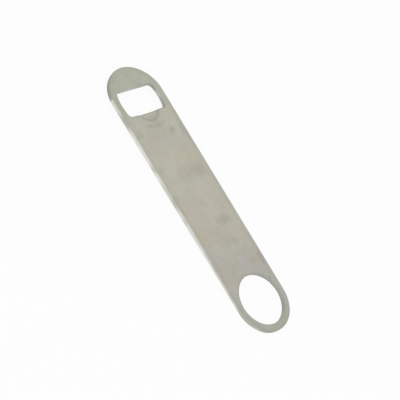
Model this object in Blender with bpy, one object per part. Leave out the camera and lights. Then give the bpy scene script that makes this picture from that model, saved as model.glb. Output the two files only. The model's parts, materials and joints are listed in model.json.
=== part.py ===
"""Flat bar-blade bottle opener: one stamped steel plate with a cap mouth, a pressed lip and a finger hole.

Units are metres and +Z is up. The blade lies level along X, with the cap mouth towards -X and the finger
hole towards +X. The origin is under the middle of the blade, at the height of the lip's lowest face.
"""
import math

import bmesh
import bpy
from mathutils import Vector

# Blank, as it is sheared from the sheet
BLADE_LENGTH = 0.178
MOUTH_END_WIDTH = 0.040
GRIP_END_WIDTH = 0.0385
PLATE_THICKNESS = 0.0023
EDGE_ROUNDING = 0.0003

# Cap mouth, a rounded rectangle whose short sides bow outwards
MOUTH_TIP_WALL = 0.0145
MOUTH_SIDE_WALL = 0.00445
MOUTH_LENGTH = 0.0167
MOUTH_SIDE_BOW = 0.0014
MOUTH_CORNER_RADIUS = 0.0029

# Half-moon lip, pressed down out of the plate at the mouth's handle side to catch under a cap's skirt
LIP_WIDTH = 0.018
LIP_REACH = 0.0071
LIP_FLOOR_REACH = 0.0019
LIP_CREASE_RUN = 0.0013
LIP_DROP = 0.0012

# Finger hole, for spinning the blade and for hanging it on a hook
FINGER_HOLE_SIDE_RIM = 0.00375
FINGER_HOLE_END_RIM = 0.00445

# Facets along each kind of curve
END_STEPS = 40
HOLE_STEPS = 64
CORNER_STEPS = 6
BOW_STEPS = 8
LIP_ARC_STEPS = 28
LIP_WALL_STEPS = 8
EDGE_STEPS = 2

STEEL_COLOUR = (0.47, 0.455, 0.38, 1.0)
STEEL_ROUGHNESS = 0.34

# Sizes worked out from the driving dimensions
UNDERSIDE_Z = LIP_DROP
MOUTH_TIP_X = -BLADE_LENGTH / 2 + MOUTH_TIP_WALL
MOUTH_LIP_X = MOUTH_TIP_X + MOUTH_LENGTH
MOUTH_MIDDLE_X = (MOUTH_TIP_X + MOUTH_LIP_X) / 2
MOUTH_WIDTH = MOUTH_END_WIDTH - 2 * MOUTH_SIDE_WALL
LIP_WALL_RUN = LIP_REACH - LIP_FLOOR_REACH
FINGER_HOLE_RADIUS = GRIP_END_WIDTH / 2 - FINGER_HOLE_SIDE_RIM
FINGER_HOLE_X = BLADE_LENGTH / 2 - FINGER_HOLE_END_RIM - FINGER_HOLE_RADIUS


def circle_radius(chord, rise):
    """Radius of the circle whose arc has this chord and this rise."""
    return (chord * chord / 4 + rise * rise) / (2 * rise)


LIP_RADIUS = circle_radius(LIP_WIDTH, LIP_REACH)
LIP_CENTRE_X = MOUTH_LIP_X + LIP_REACH - LIP_RADIUS


def arc(centre_x, centre_y, radius, start, end, steps):
    """Points along an arc, both ends included."""
    angles = [start + (end - start) * i / steps for i in range(steps + 1)]
    return [(centre_x + radius * math.cos(a), centre_y + radius * math.sin(a)) for a in angles]


def blade_outline(into_metal):
    """Two round ends joined by straight sides that taper towards the grip end, run anticlockwise."""
    mouth_radius = MOUTH_END_WIDTH / 2
    grip_radius = GRIP_END_WIDTH / 2
    mouth_x = -BLADE_LENGTH / 2 + mouth_radius
    grip_x = BLADE_LENGTH / 2 - grip_radius
    side = math.acos((mouth_radius - grip_radius) / (grip_x - mouth_x))
    mouth_end = arc(mouth_x, 0, mouth_radius - into_metal, side, 2 * math.pi - side, END_STEPS)
    grip_end = arc(grip_x, 0, grip_radius - into_metal, -side, side, END_STEPS)
    return mouth_end + grip_end


def finger_hole_outline(into_metal):
    """Round hole near the grip end."""
    return arc(FINGER_HOLE_X, 0, FINGER_HOLE_RADIUS + into_metal, 0, 2 * math.pi, HOLE_STEPS)[:-1]


def lip_ring_radii():
    """Radii of the rings down the lip's sloping wall, from its crest to its foot."""
    return [LIP_RADIUS - LIP_WALL_RUN * i / LIP_WALL_STEPS for i in range(LIP_WALL_STEPS + 1)]


def lip_ring_angle(radius):
    """Half the angle through which a lip ring runs before it meets the edge of the top or bottom face."""
    return math.acos((MOUTH_LIP_X + EDGE_ROUNDING - LIP_CENTRE_X) / radius)


def mouth_outline(into_metal):
    """Rounded rectangle, run anticlockwise from the lip. Its first points are where the lip's rings end."""
    half = MOUTH_WIDTH / 2
    corner = MOUTH_CORNER_RADIUS
    bow_radius = circle_radius(MOUTH_LENGTH, MOUTH_SIDE_BOW)
    bow_y = half - bow_radius
    corner_dx = MOUTH_LENGTH / 2 - corner
    corner_dy = math.sqrt((bow_radius - corner) ** 2 - corner_dx ** 2)
    corner_y = bow_y + corner_dy
    turn = math.atan2(corner_dy, corner_dx)
    lip_side = [r * math.sin(lip_ring_angle(r)) for r in lip_ring_radii()]
    points = [(MOUTH_LIP_X + into_metal, -y) for y in lip_side]
    points += [(MOUTH_LIP_X + into_metal, y) for y in reversed(lip_side)]
    for sign in (1, -1):
        start = 0 if sign > 0 else math.pi
        lead_x = MOUTH_MIDDLE_X + sign * corner_dx
        tail_x = MOUTH_MIDDLE_X - sign * corner_dx
        points += arc(lead_x, sign * corner_y, corner + into_metal, start, start + turn, CORNER_STEPS)
        bow = arc(MOUTH_MIDDLE_X, sign * bow_y, bow_radius + into_metal,
                  start + turn, start + math.pi - turn, BOW_STEPS)
        points += bow[1:-1]
        points += arc(tail_x, sign * corner_y, corner + into_metal,
                      start + math.pi - turn, start + math.pi, CORNER_STEPS)
    return points


def rim_profile():
    """Steps of a plate edge from the top face round to the bottom face, as (distance into metal, height)."""
    turns = [math.pi / 2 * i / EDGE_STEPS for i in range(EDGE_STEPS + 1)]
    upper = [(EDGE_ROUNDING * (1 - math.sin(a)), EDGE_ROUNDING * (1 - math.cos(a))) for a in turns]
    top = [(inward, PLATE_THICKNESS - drop) for inward, drop in upper]
    return top + list(reversed(upper))


def make_rim(bm, outline):
    """Loft one edge of the plate and return its loops of vertices on the top and the bottom face."""
    loops = []
    for into_metal, height in rim_profile():
        loops.append([bm.verts.new((x, y, UNDERSIDE_Z + height)) for x, y in outline(into_metal)])
    for upper, lower in zip(loops, loops[1:]):
        for i in range(len(upper)):
            bm.faces.new((upper[i - 1], upper[i], lower[i], lower[i - 1]))
    return loops[0], loops[-1]


def make_lip_face(bm, mouth_loop):
    """Fill the half-moon on one face with rings of faces and return the vertices of its outer arc."""
    height = mouth_loop[0].co.z
    radii = lip_ring_radii()
    rings = []
    for i, radius in enumerate(radii):
        angle = lip_ring_angle(radius)
        inner = arc(LIP_CENTRE_X, 0, radius, -angle, angle, LIP_ARC_STEPS)[1:-1]
        ring = [mouth_loop[i]]
        ring += [bm.verts.new((x, y, height)) for x, y in inner]
        ring.append(mouth_loop[2 * len(radii) - 1 - i])
        rings.append(ring)
    for outer, inner in zip(rings, rings[1:]):
        for i in range(LIP_ARC_STEPS):
            bm.faces.new((outer[i], outer[i + 1], inner[i + 1], inner[i]))
    bm.faces.new(rings[-1])
    return rings[0]


def make_flat_face(bm, blade_loop, hole_loop, mouth_loop):
    """Fill one face of the plate around the finger hole, the mouth and the lip."""
    lip_arc = make_lip_face(bm, mouth_loop)
    lip_points = 2 * len(lip_ring_radii())
    mouth_round = mouth_loop[lip_points - 1:] + lip_arc[:-1]
    edges = []
    for loop in (blade_loop, hole_loop, mouth_round):
        for i in range(len(loop)):
            pair = (loop[i - 1], loop[i])
            edges.append(bm.edges.get(pair) or bm.edges.new(pair))
    bmesh.ops.triangle_fill(bm, use_beauty=True, edges=edges, normal=Vector((0, 0, 1)))


def press_depth(x, y):
    """How far the punch moves the metal down: a short crease, then a hollow wall that runs out flat."""
    if x < MOUTH_MIDDLE_X:
        return 0.0
    run = LIP_RADIUS - math.hypot(x - LIP_CENTRE_X, y)
    run = min(max(run, 0.0), LIP_WALL_RUN)
    if run < LIP_CREASE_RUN:
        return LIP_DROP * run * run / (LIP_CREASE_RUN * LIP_WALL_RUN)
    left = LIP_WALL_RUN - run
    return LIP_DROP * (1 - left * left / ((LIP_WALL_RUN - LIP_CREASE_RUN) * LIP_WALL_RUN))


def steel_material():
    """Satin stainless steel."""
    material = bpy.data.materials.new("satin_steel")
    material.use_nodes = True
    shader = material.node_tree.nodes["Principled BSDF"]
    shader.inputs["Base Color"].default_value = STEEL_COLOUR
    shader.inputs["Metallic"].default_value = 1.0
    shader.inputs["Roughness"].default_value = STEEL_ROUGHNESS
    return material


def make_blade():
    """The whole opener: blank the plate, press the lip, and wrap it up as one object."""
    bm = bmesh.new()
    blade_loops = make_rim(bm, blade_outline)
    hole_loops = make_rim(bm, finger_hole_outline)
    mouth_loops = make_rim(bm, mouth_outline)
    for blade_loop, hole_loop, mouth_loop in zip(blade_loops, hole_loops, mouth_loops):
        make_flat_face(bm, blade_loop, hole_loop, mouth_loop)
    for vertex in bm.verts:
        vertex.co.z -= press_depth(vertex.co.x, vertex.co.y)
    bmesh.ops.recalc_face_normals(bm, faces=bm.faces)
    mesh = bpy.data.meshes.new("opener_blade")
    bm.to_mesh(mesh)
    bm.free()
    mesh.shade_smooth()
    mesh.set_sharp_from_angle(angle=math.radians(35))
    mesh.materials.append(steel_material())
    blade = bpy.data.objects.new("opener_blade", mesh)
    bpy.context.collection.objects.link(blade)
    return blade


for old in list(bpy.data.objects):
    bpy.data.objects.remove(old)
make_blade()
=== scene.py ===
# %% [markdown]
# # A bar-blade bottle opener in bare steel
# The object is the flat opener that a bartender spins on one finger. It is a single stamping: a long plate
# with round ends, a mouth for the bottle cap at one end, and a finger hole at the other. The only shaped
# part is a small half-moon lip, pressed down at the mouth's edge, that catches under a cap's skirt.
#
# The packed frame already has that plate at its real size. This lesson rebuilds its skin with finer edges
# and a finer lip, gives the faces and the edges their own finishes, and sets up the camera and the light.
# The blade lies along X with its mouth at the low end, and the camera stands on the near side, where Y is
# low. Shapes are in metres, as Blender has them. The finishes count in millimetres.

# %% Load the frame
import json
import math

import bmesh
import bpy
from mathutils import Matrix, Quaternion, Vector, geometry, noise


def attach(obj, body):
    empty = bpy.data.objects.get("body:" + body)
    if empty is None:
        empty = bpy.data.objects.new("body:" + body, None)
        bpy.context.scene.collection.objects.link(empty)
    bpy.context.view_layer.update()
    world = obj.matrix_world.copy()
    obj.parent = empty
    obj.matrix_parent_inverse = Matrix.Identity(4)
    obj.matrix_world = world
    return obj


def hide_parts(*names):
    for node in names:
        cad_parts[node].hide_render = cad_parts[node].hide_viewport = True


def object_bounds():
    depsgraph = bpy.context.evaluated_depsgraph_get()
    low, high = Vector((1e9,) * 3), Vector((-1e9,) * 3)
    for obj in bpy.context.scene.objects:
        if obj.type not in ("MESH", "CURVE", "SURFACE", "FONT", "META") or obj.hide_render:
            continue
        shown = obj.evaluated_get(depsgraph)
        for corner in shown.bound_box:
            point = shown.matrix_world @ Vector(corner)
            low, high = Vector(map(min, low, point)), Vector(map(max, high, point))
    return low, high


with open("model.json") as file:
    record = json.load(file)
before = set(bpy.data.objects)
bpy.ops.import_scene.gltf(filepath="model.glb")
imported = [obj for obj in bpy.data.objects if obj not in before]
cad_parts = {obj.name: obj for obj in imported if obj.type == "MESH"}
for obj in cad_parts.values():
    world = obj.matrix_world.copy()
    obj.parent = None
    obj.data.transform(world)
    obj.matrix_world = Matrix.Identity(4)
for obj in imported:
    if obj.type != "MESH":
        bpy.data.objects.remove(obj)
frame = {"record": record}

MM = 0.001
cad_low, cad_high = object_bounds()
mounts = {mount["name"]: Vector(mount["pos_m"]) for mount in frame["record"]["mounts"]}
top_z = mounts["top_face"].z
underside_z = mounts["underside"].z
plate_thickness = top_z - underside_z
print(f"blade {(cad_high.x - cad_low.x) / MM:.1f} mm long, plate {plate_thickness / MM:.2f} mm thick")

# %% [markdown]
# ## The camera
# The camera comes first, because every later choice is judged through it. The view looks down at the blade
# from about 45 degrees through a long lens, so its far end shrinks only a little. The camera is also
# rolled about its own axis, which is why the blade runs from the upper left to the lower right of the
# picture. A camera could be aimed with a Track To constraint; here its place is worked out from an
# azimuth, an elevation and a distance, and the roll is one more turn about the line of sight.

# %% Camera
LENS_MM = 100
SENSOR_MM = 36
CLIP_START = 10 * MM
CAMERA_AZIMUTH = math.radians(12.76)
CAMERA_ELEVATION = math.radians(44.72)
CAMERA_ROLL = math.radians(49.71)
CAMERA_DISTANCE = 0.6364
AIM_ALONG = 2.66 * MM
AIM_ACROSS = -1.38 * MM

aim_point = Vector((AIM_ALONG, AIM_ACROSS, top_z))
towards_camera = Vector((
    math.sin(CAMERA_AZIMUTH) * math.cos(CAMERA_ELEVATION),
    -math.cos(CAMERA_AZIMUTH) * math.cos(CAMERA_ELEVATION),
    math.sin(CAMERA_ELEVATION),
))
camera = bpy.data.objects.new("camera", bpy.data.cameras.new("camera"))
camera.data.lens = LENS_MM
camera.data.sensor_width = SENSOR_MM
camera.data.clip_start = CLIP_START
camera.location = aim_point + CAMERA_DISTANCE * towards_camera
camera.rotation_mode = "QUATERNION"
camera.rotation_quaternion = (-towards_camera).to_track_quat("-Z", "Y") @ Quaternion((0, 0, 1), CAMERA_ROLL)
bpy.context.scene.collection.objects.link(camera)
bpy.context.scene.camera = camera
print(f"camera {CAMERA_DISTANCE:.3f} m away, {math.degrees(CAMERA_ELEVATION):.0f} degrees up")

# %% [markdown]
# ## Outlines
# A stamped plate is described by the closed lines along which the press cuts it. Each line is kept as a
# list of stations: a point, and the direction that leads from there into the metal. With that direction an
# edge can later be rounded by a different amount at each station, which a Bevel modifier could not do as
# freely. The blade's line is two arcs joined by straight sides. Its length, and its width at the mouth,
# come from the frame's own box.

# %% Blade outline
GRIP_END_WIDTH = 38.5 * MM
END_STEPS = 84
SIDE_STEPS = 80
METAL_INSIDE, METAL_OUTSIDE = -1, 1

mouth_end_radius = (cad_high.y - cad_low.y) / 2
grip_end_radius = GRIP_END_WIDTH / 2
mouth_end_centre = Vector((cad_low.x + mouth_end_radius, 0))
grip_end_centre = Vector((cad_high.x - grip_end_radius, 0))


def arc(centre, radius, start, end, steps, metal):
    """Stations along an arc, both ends included, with the metal inside or outside its circle."""
    stations = []
    for i in range(steps + 1):
        angle = start + (end - start) * i / steps
        ray = Vector((math.cos(angle), math.sin(angle)))
        stations.append((centre + radius * ray, metal * ray))
    return stations


def straight(first, last, steps):
    """Stations strictly between two others that share the same direction into the metal."""
    return [(first[0].lerp(last[0], i / steps), first[1]) for i in range(1, steps)]


def blade_outline():
    """The plate's outer edge, run anticlockwise from the far side of the mouth end."""
    side = math.acos((mouth_end_radius - grip_end_radius) / (grip_end_centre.x - mouth_end_centre.x))
    mouth_end = arc(mouth_end_centre, mouth_end_radius, side, math.tau - side, END_STEPS, METAL_INSIDE)
    grip_end = arc(grip_end_centre, grip_end_radius, -side, side, END_STEPS, METAL_INSIDE)
    near_side = straight(mouth_end[-1], grip_end[0], SIDE_STEPS)
    far_side = straight(grip_end[-1], mouth_end[0], SIDE_STEPS)
    return mouth_end + near_side + grip_end + far_side


print(f"blade outline: {len(blade_outline())} stations")

# %% [markdown]
# ## Openings
# The finger hole is a plain circle. The mouth is a rounded rectangle whose short sides bow outwards, so a
# cap drops in without catching. Each bowed side is an arc with a known rise, and each corner is a small
# arc that touches the bow and the straight edge, so its centre follows from two right triangles. Boolean
# cutters could punch both openings, but they leave uneven triangles where a rounded edge needs even quads.
# The straight edge on the lip's side gets many stations, because the press will bend it.

# %% Mouth and finger hole outlines
FINGER_HOLE_RADIUS = 15.5 * MM
FINGER_HOLE_END_RIM = 4.45 * MM
HOLE_STEPS = 132
MOUTH_TIP_WALL = 14.5 * MM
MOUTH_LENGTH = 16.7 * MM
MOUTH_WIDTH = 31.1 * MM
MOUTH_SIDE_BOW = 1.4 * MM
MOUTH_CORNER_RADIUS = 2.9 * MM
CORNER_STEPS = 10
BOW_STEPS = 16
MOUTH_EDGE_STEPS = 72

finger_hole_centre = Vector((cad_high.x - FINGER_HOLE_END_RIM - FINGER_HOLE_RADIUS, 0))
mouth_tip_x = cad_low.x + MOUTH_TIP_WALL
mouth_lip_x = mouth_tip_x + MOUTH_LENGTH
mouth_middle_x = (mouth_tip_x + mouth_lip_x) / 2


def finger_hole_outline():
    """The round hole's edge, run anticlockwise."""
    return arc(finger_hole_centre, FINGER_HOLE_RADIUS, 0, math.tau, HOLE_STEPS, METAL_OUTSIDE)[:-1]


def radius_from_rise(chord, rise):
    """Radius of the circle whose arc has this chord and this rise."""
    return (chord * chord / 4 + rise * rise) / (2 * rise)


def mouth_side(sign):
    """One short side of the mouth: a corner, the bow and the other corner. The sign picks +Y or -Y."""
    bow_radius = radius_from_rise(MOUTH_LENGTH, MOUTH_SIDE_BOW)
    bow_centre = Vector((mouth_middle_x, sign * (MOUTH_WIDTH / 2 - bow_radius)))
    reach_x = MOUTH_LENGTH / 2 - MOUTH_CORNER_RADIUS
    reach_y = math.sqrt((bow_radius - MOUTH_CORNER_RADIUS) ** 2 - reach_x ** 2)
    turn = math.atan2(reach_y, reach_x)
    start = 0 if sign > 0 else math.pi
    end = start + math.pi
    lead = bow_centre + sign * Vector((reach_x, reach_y))
    tail = bow_centre + sign * Vector((-reach_x, reach_y))
    stations = arc(lead, MOUTH_CORNER_RADIUS, start, start + turn, CORNER_STEPS, METAL_OUTSIDE)
    stations += arc(bow_centre, bow_radius, start + turn, end - turn, BOW_STEPS, METAL_OUTSIDE)[1:-1]
    return stations + arc(tail, MOUTH_CORNER_RADIUS, end - turn, end, CORNER_STEPS, METAL_OUTSIDE)


def mouth_outline():
    """The mouth's edge, run anticlockwise from the far end of its lip side."""
    far_side, near_side = mouth_side(1), mouth_side(-1)
    tip_edge = straight(far_side[-1], near_side[0], MOUTH_EDGE_STEPS)
    lip_edge = straight(near_side[-1], far_side[0], MOUTH_EDGE_STEPS)
    return far_side + tip_edge + near_side + lip_edge


print(f"mouth outline: {len(mouth_outline())} stations")

# %% [markdown]
# ## The press
# The lip is not cut, it is pushed: a round-nosed punch moves a half-moon of metal down by about half the
# plate's thickness, and both faces move together. A sculpting brush or a lattice could push it too, but a
# formula moves both faces by the same amount, and its sizes can be measured. So the lip is a height that
# is taken off every point of the finished flat plate. It starts with a short crease, and from there a
# hollow wall runs out flat towards the mouth, as two pieces of parabola that share a tangent. The metal
# that the punch drags along leaves a very shallow trough around the lip, and no rolled sheet is quite
# flat, so two small terms are added for those. Noise runs from -1 to 1, but the waves only go down from
# the face, so that the skin stays inside the packed part's box.

# %% Height taken off by the press
LIP_WIDTH = 18.0 * MM
LIP_REACH = 7.1 * MM
LIP_FLOOR_REACH = 1.9 * MM
LIP_CREASE_RUN = 1.0 * MM
TROUGH_OFFSET = 1.8 * MM
TROUGH_HALF_WIDTH = 1.5 * MM
TROUGH_DEPTH = 0.14 * MM
TROUGH_FOCUS = 6
WAVE_DEPTH = 0.04 * MM
WAVE_LENGTH = 30 * MM

lip_drop = underside_z - cad_low.z
lip_wall_run = LIP_REACH - LIP_FLOOR_REACH
lip_radius = radius_from_rise(LIP_WIDTH, LIP_REACH)
lip_centre_x = mouth_lip_x + LIP_REACH - lip_radius


def smooth_step(value):
    """0 below 0, 1 above 1, and a smooth run between."""
    value = min(max(value, 0.0), 1.0)
    return value * value * (3 - 2 * value)


def scoop(run):
    """Share of the drop at this distance inside the lip: a short crease, then a hollow wall."""
    run = min(max(run, 0.0), lip_wall_run)
    if run < LIP_CREASE_RUN:
        return run * run / (LIP_CREASE_RUN * lip_wall_run)
    left = lip_wall_run - run
    return 1 - left * left / ((lip_wall_run - LIP_CREASE_RUN) * lip_wall_run)


def press_depth(x, y):
    """How far the metal at a point of the flat plate is moved down."""
    wave = WAVE_DEPTH * (0.5 + 0.5 * noise.noise(Vector((x, y, 0)) / WAVE_LENGTH))
    if x < mouth_middle_x:
        return wave
    away = math.hypot(x - lip_centre_x, y)
    pressed = scoop(lip_radius - away)
    across = (away - lip_radius - TROUGH_OFFSET) / TROUGH_HALF_WIDTH
    towards_handle = max((x - lip_centre_x) / away, 0.0)
    trough = TROUGH_DEPTH * towards_handle ** TROUGH_FOCUS * math.exp(-across * across)
    return lip_drop * pressed + wave * (1 - pressed) + trough


print(f"lip drops {lip_drop / MM:.2f} mm inside a radius of {lip_radius / MM:.2f} mm")

# %% [markdown]
# ## The edge of the plate
# Two kinds of edge meet on this blade. The near long side is the rolled edge of the strip, well rounded,
# and the near quarter of the grip end is rounded to match it; the bright colour they get in the edge
# finish is partly a painted highlight. Everything else is sheared by the press: the top corner is drawn
# over, the upper part of the wall is burnished by the punch, and the lower part tears away a little
# further in. The edge of the lip is eased further, so that it doesn't cut the cap. A curve's bevel would
# sweep one profile round a whole outline. Here a formula holds all of these kinds, and each station says
# how much of each it takes, so they run softly into each other.

# %% Edge profile
SIDE_ROUNDING = 0.80 * MM
SIDE_UNDER_ROUNDING = 0.40 * MM
SHEAR_ROUNDING = 0.34 * MM
LIP_EDGE_ROUNDING = 0.85 * MM
UNDER_ROUNDING = 0.22 * MM
TEAR_RECESS = 0.05 * MM
TEAR_STEP = 0.06 * MM
BURNISHED_SHARE = 0.45
RIM_ROWS = (1.2 * MM, 0.7 * MM, 0.25 * MM)
ROUNDING_STEPS = 5
ROLLED_START_OVERRUN = 3.5 * MM
ROLLED_START_FADE = 2.5 * MM
ROLLED_END_OVERRUN = 17.5 * MM
ROLLED_END_FADE = 6 * MM
EASED_FADE = 4 * MM


def rolled_share(point):
    """1 along the near side and the near quarter of the grip end, 0 elsewhere, with short runs between."""
    start = (point.x - mouth_end_centre.x + ROLLED_START_OVERRUN) / ROLLED_START_FADE
    end = (grip_end_centre.x - point.x + ROLLED_END_OVERRUN) / ROLLED_END_FADE
    return smooth_step(start) * smooth_step(end) if point.y < 0 else 0.0


def eased_share(point):
    """1 along the lip's edge of the mouth, 0 on its other sides."""
    return smooth_step((point.x - mouth_lip_x) / EASED_FADE + 1)


def edge_profile(rolled, eased):
    """Steps from the top face round the edge to the bottom face, as (distance into metal, height)."""
    upper = SHEAR_ROUNDING + (SIDE_ROUNDING - SHEAR_ROUNDING) * rolled
    upper += (LIP_EDGE_ROUNDING - SHEAR_ROUNDING) * eased
    lower = UNDER_ROUNDING + (SIDE_UNDER_ROUNDING - UNDER_ROUNDING) * rolled
    recess = TEAR_RECESS * (1 - rolled)
    tear_top = lower + (plate_thickness - upper - lower) * (1 - BURNISHED_SHARE)
    turns = [math.pi / 2 * i / ROUNDING_STEPS for i in range(ROUNDING_STEPS + 1)]
    profile = [(upper + row, plate_thickness) for row in RIM_ROWS]
    profile += [(upper * (1 - math.sin(a)), plate_thickness - upper * (1 - math.cos(a))) for a in turns]
    profile += [(0, tear_top + TEAR_STEP), (recess, tear_top - TEAR_STEP)]
    profile += [(recess + lower * (1 - math.sin(a)), lower * (1 - math.cos(a))) for a in reversed(turns)]
    profile += [(recess + lower + row, 0) for row in reversed(RIM_ROWS)]
    return profile


print(f"edge profile: {len(edge_profile(0, 0))} points")

# %% [markdown]
# ## Skinning the plate
# The edges are lofted: one column of points for each station, joined to the next by quads. The outermost
# rows of the two flat faces belong to the loft too, which keeps the shading flat right up to the rounding.
# Each vertex remembers two things for the finish: how much of the rolled edge it has, and how high on the
# wall it sits. The height is noted before the press bends the plate, so the bands on the wall follow the
# lip down. Vertex colours could hold these numbers as well; a float attribute keeps them exact.

# %% Edge loft
FACE_FINISH, EDGE_FINISH = range(2)


def nowhere(point):
    """The share of a kind of edge that an outline doesn't have."""
    return 0.0


def loft_edge(bm, stations, rolled_at=nowhere, eased_at=nowhere):
    """Quads round one edge of the plate; returns its loops of vertices on the top and the bottom face."""
    rolled_layer = bm.verts.layers.float["rolled"]
    wall_layer = bm.verts.layers.float["wall"]
    columns = []
    for point, into_metal in stations:
        rolled = rolled_at(point)
        column = []
        for inset, height in edge_profile(rolled, eased_at(point)):
            place = point + inset * into_metal
            vertex = bm.verts.new((place.x, place.y, underside_z + height))
            vertex[rolled_layer] = rolled
            vertex[wall_layer] = height / plate_thickness
            column.append(vertex)
        columns.append(column)
    bands = len(columns[0]) - 1
    for i in range(len(columns)):
        before, here = columns[i - 1], columns[i]
        for k in range(bands):
            face = bm.faces.new((before[k], here[k], here[k + 1], before[k + 1]))
            on_wall = len(RIM_ROWS) <= k < bands - len(RIM_ROWS)
            face.material_index = EDGE_FINISH if on_wall else FACE_FINISH
    return [column[0] for column in columns], [column[-1] for column in columns]


print(f"each loft has {len(edge_profile(0, 0)) - 1} bands, {2 * len(RIM_ROWS)} of them on the flat faces")

# %% [markdown]
# ## Points for the flat faces
# The two flat faces will be filled by a constrained Delaunay triangulation, which accepts any scatter of
# inner points. That lets the mesh be fine around the lip, where the shape changes, and coarse along the
# handle, where it doesn't. A grid fill would need the same spacing everywhere. The handle gets a staggered
# grid, and the lip gets rings about its own centre, so that the crease runs along the mesh.

# %% Inner points of the faces
GRID_STEP = 3.0 * MM
LIP_STEP = 0.25 * MM
TROUGH_STEP = 0.75 * MM
PATCH_MARGIN = 6.0 * MM
FEWEST_IN_RING = 6

patch_radius = lip_radius + PATCH_MARGIN


def clear_of_edges(x, y, gap):
    """True where a point lies on the flat of the plate, this far from every edge."""
    spare = gap + SHEAR_ROUNDING + RIM_ROWS[0]
    mouth_spare = gap + LIP_EDGE_ROUNDING + RIM_ROWS[0]
    near_x = min(max(x, mouth_end_centre.x), grip_end_centre.x)
    along = (near_x - mouth_end_centre.x) / (grip_end_centre.x - mouth_end_centre.x)
    half_width = mouth_end_radius + (grip_end_radius - mouth_end_radius) * along
    in_blade = math.hypot(x - near_x, y) < half_width - spare
    in_hole = math.hypot(x - finger_hole_centre.x, y) < FINGER_HOLE_RADIUS + spare
    in_mouth_x = mouth_tip_x - spare < x < mouth_lip_x + mouth_spare
    in_mouth = in_mouth_x and abs(y) < MOUTH_WIDTH / 2 + spare
    return in_blade and not in_hole and not in_mouth


def grid_points():
    """A coarse staggered grid over the blade that leaves out the patch around the lip."""
    points = []
    rows = int((cad_high.y - cad_low.y) / GRID_STEP)
    columns = int((cad_high.x - cad_low.x) / GRID_STEP)
    for row in range(rows + 1):
        stagger = 0.5 if row % 2 else 0.0
        for column in range(columns + 1):
            x = cad_low.x + (column + stagger) * GRID_STEP
            y = cad_low.y + row * GRID_STEP
            away = math.hypot(x - lip_centre_x, y)
            in_patch = x > mouth_middle_x and away < patch_radius + GRID_STEP / 2
            if clear_of_edges(x, y, GRID_STEP / 2) and not in_patch:
                points.append((x, y))
    return points


def lip_points():
    """Rings of points around the lip's centre, fine on the lip and wider apart around it."""
    points = []
    radius = LIP_STEP
    while radius < patch_radius:
        step = LIP_STEP if radius < lip_radius + LIP_STEP else TROUGH_STEP
        count = max(FEWEST_IN_RING, round(math.tau * radius / step))
        for i in range(count):
            angle = math.tau * i / count
            x = lip_centre_x + radius * math.cos(angle)
            y = radius * math.sin(angle)
            if x > mouth_middle_x and clear_of_edges(x, y, step / 2):
                points.append((x, y))
        radius += step
    return points


inner_points = grid_points() + lip_points()
print(f"{len(inner_points)} inner points on each face")

# %% [markdown]
# ## The blade as one mesh
# Now the plate comes together while it is still flat: three lofted edges, then the two faces between them.
# The triangulation is told of the three closed lines and says which of them each triangle lies inside, so
# the metal is what lies inside the blade's line alone. The press comes last and bends the whole mesh at
# once. A Solidify modifier could give one face its thickness, but here both faces have edges of their own.

# %% Blade mesh
FILL_INSIDE = 1
WELD_DISTANCE_MM = 1e-5
BLADE_LINE = 0


def fill_face(bm, loops, height):
    """Triangles between the blade's outline and its two openings, on one face of the plate."""
    vertices = [vertex for loop in loops for vertex in loop]
    vertices += [bm.verts.new((x, y, height)) for x, y in inner_points]
    flat_mm = [vertex.co.xy / MM for vertex in vertices]
    lines = []
    start = 0
    for loop in loops:
        lines.append(list(range(start, start + len(loop))))
        start += len(loop)
    filled = geometry.delaunay_2d_cdt(flat_mm, [], lines, FILL_INSIDE, WELD_DISTANCE_MM)
    _, _, triangles, sources, _, lines_around = filled
    for triangle, around in zip(triangles, lines_around):
        if around == [BLADE_LINE]:
            bm.faces.new([vertices[sources[i][0]] for i in triangle])


def make_blade():
    """The whole opener as one mesh object."""
    bm = bmesh.new()
    bm.verts.layers.float.new("rolled")
    bm.verts.layers.float.new("wall")
    edges = [
        loft_edge(bm, blade_outline(), rolled_at=rolled_share),
        loft_edge(bm, finger_hole_outline()),
        loft_edge(bm, mouth_outline(), eased_at=eased_share),
    ]
    fill_face(bm, [top for top, bottom in edges], top_z)
    fill_face(bm, [bottom for top, bottom in edges], underside_z)
    for vertex in bm.verts:
        vertex.co.z -= press_depth(vertex.co.x, vertex.co.y)
    bmesh.ops.recalc_face_normals(bm, faces=bm.faces)
    mesh = bpy.data.meshes.new("stamped_blade")
    bm.to_mesh(mesh)
    bm.free()
    mesh.shade_smooth()
    piece = bpy.data.objects.new("stamped_blade", mesh)
    bpy.context.scene.collection.objects.link(piece)
    return piece


blade = make_blade()
print(f"blade mesh: {len(blade.data.vertices)} vertices, {len(blade.data.polygons)} faces")

# %% [markdown]
# ## Shader sums as Python
# A finish is a small calculation that runs at every point of a surface. It could be wired up by hand in
# the shader editor, but a large tree of nodes is hard to read and to change. So one class wraps a node's
# output: sums on it add Math nodes, and its node method adds anything else. Colours and vectors have their
# own methods, because a Math node would turn a colour grey.

# %% Wire
NOISE_MIDDLE = 0.5
# Places of the sockets that a Mix node has for colours.
MIX_AMOUNT, MIX_FIRST, MIX_SECOND, MIX_COLOUR = 0, 6, 7, 2


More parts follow.
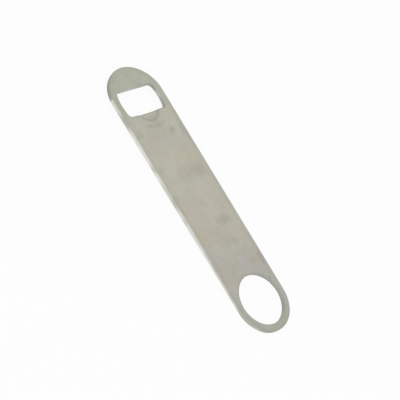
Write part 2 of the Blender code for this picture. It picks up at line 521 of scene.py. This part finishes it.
class Wire:
    """One output of a node. Sums on it add Math nodes, and node() adds any other kind to the same tree."""

    def __init__(self, socket):
        self.socket = socket
        self.tree = socket.id_data

    def node(self, kind, settings=None, inputs=None, output=0):
        """Add a node: its settings first, then the values or wires of its sockets."""
        made = self.tree.nodes.new(kind)
        for name, value in (settings or {}).items():
            setattr(made, name, value)
        for name, value in (inputs or {}).items():
            if isinstance(value, Wire):
                self.tree.links.new(value.socket, made.inputs[name])
            else:
                made.inputs[name].default_value = value
        return Wire(made.outputs[output])

    def math(self, operation, first, second=0.0):
        return self.node("ShaderNodeMath", {"operation": operation}, {0: first, 1: second})

    def __add__(self, other):
        return self.math("ADD", self, other)

    __radd__ = __add__

    def __sub__(self, other):
        return self.math("SUBTRACT", self, other)

    def __rsub__(self, other):
        return self.math("SUBTRACT", other, self)

    def __mul__(self, other):
        return self.math("MULTIPLY", self, other)

    __rmul__ = __mul__

    def __pow__(self, other):
        return self.math("POWER", self, other)

    def __rpow__(self, other):
        return self.math("POWER", other, self)

    def __abs__(self):
        return self.math("ABSOLUTE", self)

    def least(self, other):
        return self.math("MINIMUM", self, other)

    def most(self, other):
        return self.math("MAXIMUM", self, other)

    def vector(self, operation, other=(0, 0, 0), output="Vector"):
        """Vector Math on this vector wire; its output Value is a plain number, such as a length."""
        return self.node("ShaderNodeVectorMath", {"operation": operation}, {0: self, 1: other}, output)

    def axis(self, name):
        """One coordinate of this vector wire: X, Y or Z."""
        return self.node("ShaderNodeSeparateXYZ", {}, {0: self}, name)

    def ramp(self, low, high):
        """0 at low, 1 at high, with a smooth run between; low may be the larger of the two."""
        settings = {"interpolation_type": "SMOOTHSTEP"}
        inputs = {"Value": self, "From Min": low, "From Max": high}
        return self.node("ShaderNodeMapRange", settings, inputs)

    def mix(self, first, second):
        """A colour that runs from first to second as this wire runs from 0 to 1."""
        inputs = {MIX_AMOUNT: self, MIX_FIRST: first, MIX_SECOND: second}
        return self.node("ShaderNodeMix", {"data_type": "RGBA"}, inputs, MIX_COLOUR)

    def tint(self, amount, colour):
        """This colour wire, multiplied by a colour where amount is 1."""
        settings = {"data_type": "RGBA", "blend_type": "MULTIPLY"}
        inputs = {MIX_AMOUNT: amount, MIX_FIRST: self, MIX_SECOND: colour}
        return self.node("ShaderNodeMix", settings, inputs, MIX_COLOUR)

    def noise(self, size, detail, output=0):
        """Noise on this vector wire, from 0 to 1, whose features are about this long along each axis."""
        inputs = {"Vector": self.vector("DIVIDE", size), "Scale": 1.0, "Detail": detail}
        return self.node("ShaderNodeTexNoise", {}, inputs, output)

    def swing(self, size, detail):
        """The same noise, to either side of 0."""
        return self.noise(size, detail) - NOISE_MIDDLE

    def drift(self, size, detail):
        """Three such noises at once, as a vector, from the noise node's colour output."""
        middle = (NOISE_MIDDLE, NOISE_MIDDLE, NOISE_MIDDLE)
        return self.noise(size, detail, "Color").vector("SUBTRACT", middle)

    def attribute(self, name):
        """A number that the mesh keeps at its vertices."""
        return self.node("ShaderNodeAttribute", {"attribute_name": name}, {}, "Fac")


print("a wire has:", ", ".join(name for name in vars(Wire) if not name.startswith("_")))

# %% [markdown]
# ## How a finish starts
# Both finishes of the blade are bare metal, so both start from the same shader, set to be all metal. They
# read the place on the blade from its own coordinates, turned into millimetres, so every size below can be
# compared with a ruler. Unwrapped coordinates would do as well, but they don't count in millimetres.

# %% Start of a finish
FULLY_METAL = 1.0


def start_finish(name):
    """A new metal material, its shader, and a wire with the place on the blade in millimetres."""
    material = bpy.data.materials.new(name)
    material.use_nodes = True
    shader = material.node_tree.nodes["Principled BSDF"]
    shader.inputs["Metallic"].default_value = FULLY_METAL
    place = Wire(shader.outputs["BSDF"]).node("ShaderNodeTexCoord", output="Object")
    return material, shader, place.vector("DIVIDE", (MM, MM, MM))


def plug(target, **wires):
    """Lead wires into a node's sockets, with underscores for the spaces in their names."""
    for name, wire in wires.items():
        wire.tree.links.new(wire.socket, target.inputs[name.replace("_", " ")])


def bumped(height, distance):
    """The normal of a surface that rises by this distance where height is 1."""
    return height.node("ShaderNodeBump", {}, {"Height": height, "Strength": 1.0, "Distance": distance})


print(f"finishes count {1 / MM:.0f} units to the metre")

# %% [markdown]
# ## The tone of the sheet
# The flat faces keep the satin finish of tumbled sheet steel. It is not one grey: soft clouds show where
# the roll pressed harder, the steel leans to pink, green, straw or blue every centimetre or so, the two
# ends are a shade darker than the handle, and the rim beside the finger hole is a little greener. Each of
# these could be painted, but noise and a few slow runs along the blade do it without a picture, and they
# hold from close by too. The lean leaves green alone, so it changes the hue but hardly the brightness.

# %% Sheet tone
SHEET_LIGHT = (0.566, 0.545, 0.460, 1)
SHEET_DULL = (0.459, 0.439, 0.364, 1)
MEAN_DULLNESS = 0.45
CLOUDS = {"size": (17, 15, 15), "detail": 3.0}
CLOUD_STRENGTH = 1.0
MOTTLE = {"size": (3.5, 3.5, 3.5), "detail": 4.0}
MOTTLE_STRENGTH = 0.7
LEAN = {"size": (8, 8, 8), "detail": 3.0}
LEAN_STRENGTH = (0.2, 0.0, 0.25)
# Each run: where it starts along the blade, where it is full, and its tint.
TONE_RUNS = [
    (10, -60, (0.943, 0.972, 0.972, 1)),
    (-54, -66, (0.937, 0.978, 0.949, 1)),
    (-30, 0, (0.982, 0.985, 0.99, 1)),
    (16, 54, (0.925, 0.92, 0.971, 1)),
    (52, 62, (0.98, 1.015, 0.995, 1)),
    (68, 80, (0.941, 0.94, 0.925, 1)),
]


def sheet_tone(place):
    """Colour of the clean sheet, and how dull it is."""
    dull = place.swing(**CLOUDS) * CLOUD_STRENGTH + place.swing(**MOTTLE) * MOTTLE_STRENGTH + MEAN_DULLNESS
    lean = place.drift(**LEAN).vector("MULTIPLY", LEAN_STRENGTH)
    colour = dull.mix(SHEET_LIGHT, SHEET_DULL).tint(1.0, lean.vector("ADD", (1, 1, 1)))
    for start, full, shade in TONE_RUNS:
        colour = colour.tint(place.axis("X").ramp(start, full), shade)
    return colour, dull


print(f"sheet tone: {len(TONE_RUNS)} runs along the blade")

# %% [markdown]
# ## Stains, smudge marks and painted shade
# A used blade has brown stains where drinks dried on it and grey smudge marks where it was handled. One
# grey oval in the hollow of the lip is painted shade, a brownish ring darkens the face around the lip's
# handle side, and painted shade darkens the far half of the lip's crease. A painted picture could carry
# them, but here each mark is an oval on the top face, given by its place and its extent in millimetres,
# so it can be moved by itself. The place is first moved about by noise, so that no oval keeps a clean
# outline. The ring and the crease shade only need the distance from the lip's centre.

# %% Marks on the top face
STAIN_TINT = (0.865, 0.83, 0.79, 1)
# Smudge marks, and painted shade in the hollow of the lip.
SMUDGE_AND_SHADE_TINT = (0.85, 0.845, 0.845, 1)
RING_TINT = (0.917, 0.907, 0.888, 1)
# Painted shade for the far half of the lip's crease.
CREASE_SHADE_TINT = (0.895, 0.9, 0.905, 1)
# Each mark: its place along and across the blade, its length, its width and its strength.
STAINS_MM = [
    (-14, 11, 13, 18, 0.5), (-18, 11, 12, 18, 0.3), (18.3, 6.5, 9, 17, 0.8), (32, 0, 9, 8, 0.4),
    (47, 17, 14, 8, 0.7), (47, 10, 7, 9, 0.5), (41, 9, 15, 20, 0.3), (5, 0, 8, 10, 0.4),
    (-21, -16, 10, 6, 0.5), (5, -18, 6, 4, 0.5),
]
SMUDGES_AND_SHADE_MM = [
    (-42, 9, 7, 8, 0.9), (-14, -1, 17, 19, 0.55), (28, 13, 18, 14, 0.25), (33, 6, 6, 8, 0.6),
    (45, -1, 6, 6, 0.4), (-3, -17, 8, 5, 0.6), (-46, -15, 9, 9, 0.6), (-41, 17.5, 20, 8, 0.5),
    # The last oval here, in the hollow of the lip, is painted shade rather than a smudge mark.
    (-75.8, 5.5, 3, 7, 0.6), (-83, 0, 3, 6, 0.4), (60.6, 14.3, 3, 3, 0.9), (-53.6, -0.5, 8, 12, 0.75),
]
MARK_DEPTH = 4.0
MARK_EDGE, MARK_CORE = 1.0, 0.2
STRAY = {"size": (4, 4, 4), "detail": 2.0}
STRAY_REACH = (4.0, 4.0, 0.0)
RING_RADIUS = 11.7
RING_EDGE, RING_CORE = 2.4, 0.72
RING_START, RING_FULL = -52, -49
CREASE_SHADE_INSET = 1.25
CREASE_SHADE_EDGE, CREASE_SHADE_CORE = 1.4, 0.0
CREASE_SHADE_START, CREASE_SHADE_FULL = -2, 5


def mark_amount(place, marks):
    """How much of these ovals there is at a place: 0 at an oval's edge, its strength at its core."""
    amount = 0.0
    for x, y, length, width, strength in marks:
        offset = place.vector("SUBTRACT", (x, y, top_z / MM))
        oval = offset.vector("DIVIDE", (length / 2, width / 2, MARK_DEPTH / 2))
        amount = oval.vector("LENGTH", output="Value").ramp(MARK_EDGE, MARK_CORE) * strength + amount
    return amount


def marked(colour, place):
    """The colour with the marks and the painted shade on it, and how much of a mark there is."""
    strayed = place.vector("ADD", place.drift(**STRAY).vector("MULTIPLY", STRAY_REACH))
    # Smudge marks together with the painted shade in the lip's hollow.
    stains, smudges_and_shade = mark_amount(strayed, STAINS_MM), mark_amount(strayed, SMUDGES_AND_SHADE_MM)
    colour = colour.tint(stains, STAIN_TINT).tint(smudges_and_shade, SMUDGE_AND_SHADE_TINT)
    from_lip = place.vector("DISTANCE", (lip_centre_x / MM, 0, top_z / MM), "Value")
    ring = abs(from_lip - RING_RADIUS).ramp(RING_EDGE, RING_CORE)
    colour = colour.tint(ring * place.axis("X").ramp(RING_START, RING_FULL), RING_TINT)
    # Painted shade: the far half of the lip's crease is darkened.
    crease = abs(from_lip - lip_radius / MM + CREASE_SHADE_INSET).ramp(CREASE_SHADE_EDGE, CREASE_SHADE_CORE)
    colour = colour.tint(crease * place.axis("Y").ramp(CREASE_SHADE_START, CREASE_SHADE_FULL), CREASE_SHADE_TINT)
    return colour, stains + smudges_and_shade


print(f"{len(STAINS_MM)} stains and {len(SMUDGES_AND_SHADE_MM)} smudges")

# %% [markdown]
# ## Wear along the edges
# Handling scuffs a face most along its edges. The shader can work out how far a point lies from the
# blade's outline with the same sums as the mesh did: the nearest point on the line between the two end
# centres, and the half width there. A baked dirt map would need unwrapping; this needs none.

# %% Scuffed rims
SCUFF_TINT = (0.94, 0.945, 0.94, 1)
# Each scuff: how far from the edge it starts, and where it is full.
BLADE_SCUFF = (5.0, 0.8)
HOLE_SCUFF = (2.5, 0.5)


def blade_inset(place):
    """Distance from the blade's outer edge, in millimetres."""
    x, y = place.axis("X"), place.axis("Y")
    first, last = mouth_end_centre.x / MM, grip_end_centre.x / MM
    spine = x.most(first).least(last)
    taper = (grip_end_radius - mouth_end_radius) / (grip_end_centre.x - mouth_end_centre.x)
    half_width = (spine - first) * taper + mouth_end_radius / MM
    return half_width - ((x - spine) * (x - spine) + y * y) ** 0.5


def hole_inset(place):
    """Distance from the finger hole's edge, in millimetres."""
    flat = place.vector("MULTIPLY", (1, 1, 0))
    return flat.vector("DISTANCE", (finger_hole_centre.x / MM, 0, 0), "Value") - FINGER_HOLE_RADIUS / MM


def scuffed(colour, place):
    """The colour, darker along the rims of the face."""
    scuff = blade_inset(place).ramp(*BLADE_SCUFF).most(hole_inset(place).ramp(*HOLE_SCUFF))
    return colour.tint(scuff, SCUFF_TINT)


print(f"rims scuffed over {BLADE_SCUFF[0]} mm")

# %% [markdown]
# ## The face finish
# The colours above go into one metal shader. An anisotropic shader would suit a brushed blade, but
# tumbling with small stones leaves a fine grain that has no direction, so a noise of a third of a
# millimetre lifts the surface by a few micrometres. Over it lie the hairline scratches of use: noise that
# is stretched a hundred times longer than it is wide, of which only the highest crests are kept, in three
# directions. The duller and the more stained the steel, the rougher it is.

# %% Satin face
GRAIN = {"size": (0.35, 0.35, 0.35), "detail": 3.0}
GRAIN_HEIGHT = 0.006 * MM
GRAIN_SPREAD = (0.3, 0.7)
GRAIN_DULL, GRAIN_BRIGHT = (0.95, 0.95, 0.95, 1), (1.05, 1.05, 1.05, 1)
SCRATCH = {"size": (18, 0.18, 4), "detail": 1.0}
SCRATCH_TURNS = [math.radians(turn) for turn in (4, -17, 63)]
SCRATCH_CREST = (0.69, 0.75)
SCRATCH_DEPTH = 0.6
SCRATCH_TINT = (1.10, 1.10, 1.11, 1)
FACE_ROUGHNESS = 0.33
DULL_ROUGHENS, MARKS_ROUGHEN = 0.05, 0.04
GRAIN_ROUGHENS, SCRATCH_SMOOTHS = 0.08, 0.06


def scratches(place):
    """1 along hairline scratches, 0 elsewhere."""
    lines = 0.0
    for turn in SCRATCH_TURNS:
        inputs = {"Vector": place, "Angle": turn}
        turned = place.node("ShaderNodeVectorRotate", {"rotation_type": "Z_AXIS"}, inputs)
        lines = turned.noise(**SCRATCH).ramp(*SCRATCH_CREST) + lines
    return lines.least(1.0)


def satin_face():
    """Tumbled satin finish of the flat faces."""
    material, shader, place = start_finish("satin_face")
    colour, dull = sheet_tone(place)
    colour, marks = marked(colour, place)
    grain, scratch = place.noise(**GRAIN), scratches(place)
    grain_tint = grain.ramp(*GRAIN_SPREAD).mix(GRAIN_DULL, GRAIN_BRIGHT)
    colour = scuffed(colour, place).tint(1.0, grain_tint).tint(scratch, SCRATCH_TINT)
    roughness = FACE_ROUGHNESS + dull * DULL_ROUGHENS + marks * MARKS_ROUGHEN
    roughness = roughness + (grain - NOISE_MIDDLE) * GRAIN_ROUGHENS - scratch * SCRATCH_SMOOTHS
    normal = bumped(grain - scratch * SCRATCH_DEPTH, GRAIN_HEIGHT)
    plug(shader, Base_Color=colour, Roughness=roughness, Normal=normal)
    return material


face_finish = satin_face()
blade.data.materials.append(face_finish)
print(f"{face_finish.name}: {len(face_finish.node_tree.nodes)} nodes")

# %% [markdown]
# ## The edge finish
# The rolled edge is the brightest part of the blade; its colour is partly a bright finish and partly a
# painted highlight. It is darker and rougher in a few stretches, from under one to nearly three
# centimetres long, and along the upper part of its wall towards the grip. The sheared edges are darker:
# the burnished band at the top has fine upright lines from the punch, and the torn band below it is
# grainy. A painted glint brightens the wall in the middle of the mouth's short sides and along its
# tip-side edge, and painted shade darkens the tip's near wall, one corner of the mouth and a stretch of
# the finger hole's wall. Two materials would meet in a hard line where one kind of edge runs into the
# other, so one material holds both, and the number that the mesh keeps for the rolled edge decides
# between them.

# %% Cut edge
# Partly the rolled edge's bright finish and partly a painted highlight.
ROLLED_BRIGHT_AND_HIGHLIGHT = (0.76, 0.755, 0.70, 1)
ROLLED_DULLED = (0.46, 0.455, 0.402, 1)
ROLLED_ROUGHNESS, DULLED_ROUGHENS = 0.28, 0.1
# Each dull stretch: its middle along the blade, its half length and its strength.
DULL_STRETCHES_MM = [
    (-67, 5, 0.15), (-57, 10, 0.9), (-24, 5, 0.4), (-10, 8, 0.4), (-0.5, 7, 0.65), (11, 4, 0.45),
    (61, 5, 0.45), (75, 14, 1.0),
]
# Where the darker upper stretch starts and where it is full, along the blade and up the wall.
UPPER_DARK_ALONG = (10, 50)
UPPER_DARK_WALL = (0.5, 0.85)
UPPER_DARK_STRENGTH = 0.75
FLECKS = {"size": (6, 2, 2), "detail": 3.0}
FLECK_LEVEL, FLECK_STRENGTH = 0.4, 0.9
# The drawn-over corner, a little darker than the burnished band: painted shade that dims the lamp's
# highlight on its rounding.
SHEAR_DRAWN_SHADED = (0.40, 0.40, 0.357, 1)
SHEAR_BURNISHED = (0.42, 0.418, 0.38, 1)
SHEAR_TORN = (0.36, 0.355, 0.32, 1)
# A painted glint on the sheared wall.
SHEAR_GLINT = (0.55, 0.55, 0.515, 1)
# Painted shade on the sheared wall.
SHEAR_SHADE = (0.31, 0.31, 0.28, 1)
SHEAR_ROUGHNESS, TORN_ROUGHENS = 0.32, 0.2
UPRIGHTS = {"size": (0.33, 0.33, 5.0), "detail": 2.0}
EDGE_GRAIN = {"size": (0.25, 0.25, 0.25), "detail": 3.0}
EDGE_GRAIN_HEIGHT = 0.02 * MM
TEAR_RAGGED, TEAR_SOFT = 0.35, 0.05
TORN_TONE, GRAIN_TONE, UPRIGHT_TONE = 0.8, 0.5, 0.3
DRAWN_CORE = 0.4
# Each spot: its place along and across the blade, its reach and its strength.
# Painted glints: the middle of the mouth's short sides and its tip-side edge.
GLINT_SPOTS_MM = [(-66.8, 15.5, 5, 0.85), (-66.8, -15.5, 5, 0.85), (-74.5, -7, 13, 0.8)]
# Painted shade: the tip's near wall, a corner of the mouth and a stretch of the finger hole's wall.
SHADE_SPOTS_MM = [(-81, -16, 14, 0.7), (-72.5, 15, 4, 0.6), (79, 12, 8, 0.5)]


def rolled_tone(place, wall):
    """Colour of the rolled edge, partly a painted highlight, and how much it is dulled."""
    dulled = place.axis("X").ramp(*UPPER_DARK_ALONG) * wall.ramp(*UPPER_DARK_WALL) * UPPER_DARK_STRENGTH
    for x, half_length, strength in DULL_STRETCHES_MM:
        dulled = abs(place.axis("X") - x).ramp(half_length, 0.0) * strength + dulled
    dulled = (place.noise(**FLECKS) - FLECK_LEVEL) * FLECK_STRENGTH + dulled
    dulled = dulled.most(0.0).least(1.0)
    return dulled.mix(ROLLED_BRIGHT_AND_HIGHLIGHT, ROLLED_DULLED), dulled


def sheared_tone(place, wall):
    """Colour of the sheared edge with its painted glints and painted shade, how torn it is, and its grain.
    """
    upright, grain = place.swing(**UPRIGHTS), place.swing(**EDGE_GRAIN)
    tear = 1 - BURNISHED_SHARE
    torn = (wall + upright * TEAR_RAGGED).ramp(tear + TEAR_SOFT, tear - TEAR_SOFT)
    tone = torn * TORN_TONE + grain * GRAIN_TONE + upright * UPRIGHT_TONE
    corner = SHEAR_ROUNDING / plate_thickness
    # Painted shade on the drawn-over corner at the top of the wall.
    drawn = wall.ramp(1 - corner, 1 - DRAWN_CORE * corner)
    colour = drawn.mix(tone.mix(SHEAR_BURNISHED, SHEAR_TORN), SHEAR_DRAWN_SHADED)
    flat = place.vector("MULTIPLY", (1, 1, 0))
    # Painted glints and spots of painted shade on the sheared wall.
    for spots, shade in ((GLINT_SPOTS_MM, SHEAR_GLINT), (SHADE_SPOTS_MM, SHEAR_SHADE)):
        for x, y, reach, strength in spots:
            amount = flat.vector("DISTANCE", (x, y, 0), "Value").ramp(reach, 0.0) * strength
            colour = amount.mix(colour, shade)
    return colour, torn, grain


def cut_edge():
    """Bright rolled sides, partly a painted highlight, that run into burnished and torn shear marks with
    painted glints and painted shade.
    """
    material, shader, place = start_finish("cut_edge")
    rolled, wall = place.attribute("rolled"), place.attribute("wall")
    bright_and_highlight, dulled = rolled_tone(place, wall)
    sheared, torn, grain = sheared_tone(place, wall)
    rolled_roughness = ROLLED_ROUGHNESS + dulled * DULLED_ROUGHENS
    sheared_roughness = SHEAR_ROUGHNESS + torn * TORN_ROUGHENS
    roughness = rolled_roughness * rolled + sheared_roughness * (1 - rolled)
    normal = bumped(grain * torn * (1 - rolled), EDGE_GRAIN_HEIGHT)
    # The rolled edge's bright colour is partly a painted highlight.
    plug(shader, Base_Color=rolled.mix(sheared, bright_and_highlight), Roughness=roughness, Normal=normal)
    return material


edge_finish = cut_edge()
blade.data.materials.append(edge_finish)
print(f"{edge_finish.name}: {len(edge_finish.node_tree.nodes)} nodes")

# %% [markdown]
# ## Joining the frame
# On the real object nothing moves, so the new skin rides on the part's one body. It stands for the packed
# node, which is hidden. The skin could lie over that node too, but two surfaces in one place flicker.

# %% Ride on the frame
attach(blade, "root")
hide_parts("opener_blade")
print("blade rides on root")

# %% [markdown]
# ## Floor
# The blade lies on a table, touching it with the lip's lowest face and with the grip end, so the table is
# turned by half a degree to meet both: the finished mesh says how steep it may be before it cuts into the
# grip end. A white table under soft light would still render a little grey. A shadow catcher could keep
# the shadow alone, for a compositor to lay over white; here the table's paint is mixed with a glow of
# strength 1 for the rays that come straight from the camera or that the metal mirrors. The share that
# isn't glow keeps the blade's soft shadow.

# %% Floor
FLOOR_SIZE = 40.0
FLOOR_COLOUR = (0.94, 0.94, 0.94, 1)
FLOOR_ROUGHNESS = 0.9
GLOW_COLOUR = (1, 1, 1, 1)
GLOW_SHARE = 0.92
SEEN_RAYS = ("Is Camera Ray", "Is Glossy Ray", "Is Transmission Ray")


def floor_paint():
    """White paint that the camera and the metal see as nearly pure white."""
    material = bpy.data.materials.new("floor_paint")
    material.use_nodes = True
    nodes = material.node_tree.nodes
    shader = nodes["Principled BSDF"]
    shader.inputs["Base Color"].default_value = FLOOR_COLOUR
    shader.inputs["Roughness"].default_value = FLOOR_ROUGHNESS
    shader.inputs["Specular IOR Level"].default_value = 0.0
    paint = Wire(shader.outputs["BSDF"])
    camera_ray, mirror_ray, glass_ray = (paint.node("ShaderNodeLightPath", output=ray) for ray in SEEN_RAYS)
    glow_amount = (camera_ray + mirror_ray + glass_ray) * GLOW_SHARE
    glow = paint.node("ShaderNodeEmission", {}, {"Color": GLOW_COLOUR, "Strength": 1.0})
    mixed = paint.node("ShaderNodeMixShader", {}, {0: glow_amount, 1: paint, 2: glow})
    plug(nodes["Material Output"], Surface=mixed)
    return material


lip_foot_x = mouth_lip_x + LIP_FLOOR_REACH
handle_side = [vertex.co for vertex in blade.data.vertices if vertex.co.x > 0]
slope = math.atan(min((point.z - cad_low.z) / (point.x - lip_foot_x) for point in handle_side))
half = FLOOR_SIZE / 2
corners = [(-half, -half, 0), (half, -half, 0), (half, half, 0), (-half, half, 0)]
floor_mesh = bpy.data.meshes.new("floor")
floor_mesh.from_pydata(corners, [], [(0, 1, 2, 3)])
floor_mesh.materials.append(floor_paint())
floor = bpy.data.objects.new("floor", floor_mesh)
floor.rotation_euler.y = -slope
floor.location = (lip_foot_x, 0, cad_low.z)
bpy.context.scene.collection.objects.link(floor)
print(f"floor turned by {math.degrees(slope):.2f} degrees")

# %% [markdown]
# ## Light
# Bare metal shows the room around it, so the room is the main light: a plain soft glow, brightest high on
# the far side, which the top face mirrors, and dimmer behind the camera. A picture of a studio could light
# it too, but it would show its own lamps and windows in the steel. The dot product with the direction of
# the bright side runs from -1 to 1, so half of it and a half runs from 0 to 1. One wide lamp on the near
# side, over the front of the table, puts a highlight on the rounded edges and a soft shadow below them.

# %% Room and lamp
ROOM_DARK = (0.42, 0.42, 0.42, 1)
ROOM_BRIGHT = (0.977, 0.977, 0.977, 1)
ROOM_FOCUS = 2
BRIGHT_SIDE = Vector((-0.1, 0.75, 0.65)).normalized()
LAMP_FROM = Vector((0.35, -0.8, 0.45)).normalized()
LAMP_DISTANCE = 2.0
LAMP_WIDTH = 5.0
LAMP_HEIGHT = 2.0
LAMP_WATTS = 20

room = bpy.data.worlds.new("room")
room.use_nodes = True
bpy.context.scene.world = room
background = room.node_tree.nodes["Background"]
direction = Wire(background.outputs["Background"]).node("ShaderNodeTexCoord", output="Generated")
facing = direction.vector("DOT_PRODUCT", BRIGHT_SIDE, "Value")
brightness = (facing * 0.5 + 0.5) ** ROOM_FOCUS
plug(background, Color=brightness.mix(ROOM_DARK, ROOM_BRIGHT))

lamp = bpy.data.objects.new("lamp", bpy.data.lights.new("lamp", "AREA"))
lamp.data.shape = "RECTANGLE"
lamp.data.size = LAMP_WIDTH
lamp.data.size_y = LAMP_HEIGHT
lamp.data.energy = LAMP_WATTS
lamp.location = LAMP_DISTANCE * LAMP_FROM
lamp.rotation_mode = "QUATERNION"
lamp.rotation_quaternion = (-LAMP_FROM).to_track_quat("-Z", "Y")
bpy.context.scene.collection.objects.link(lamp)
bpy.context.scene.view_settings.view_transform = "Standard"
print(f"lamp of {LAMP_WATTS} W, {LAMP_WIDTH} by {LAMP_HEIGHT} m")
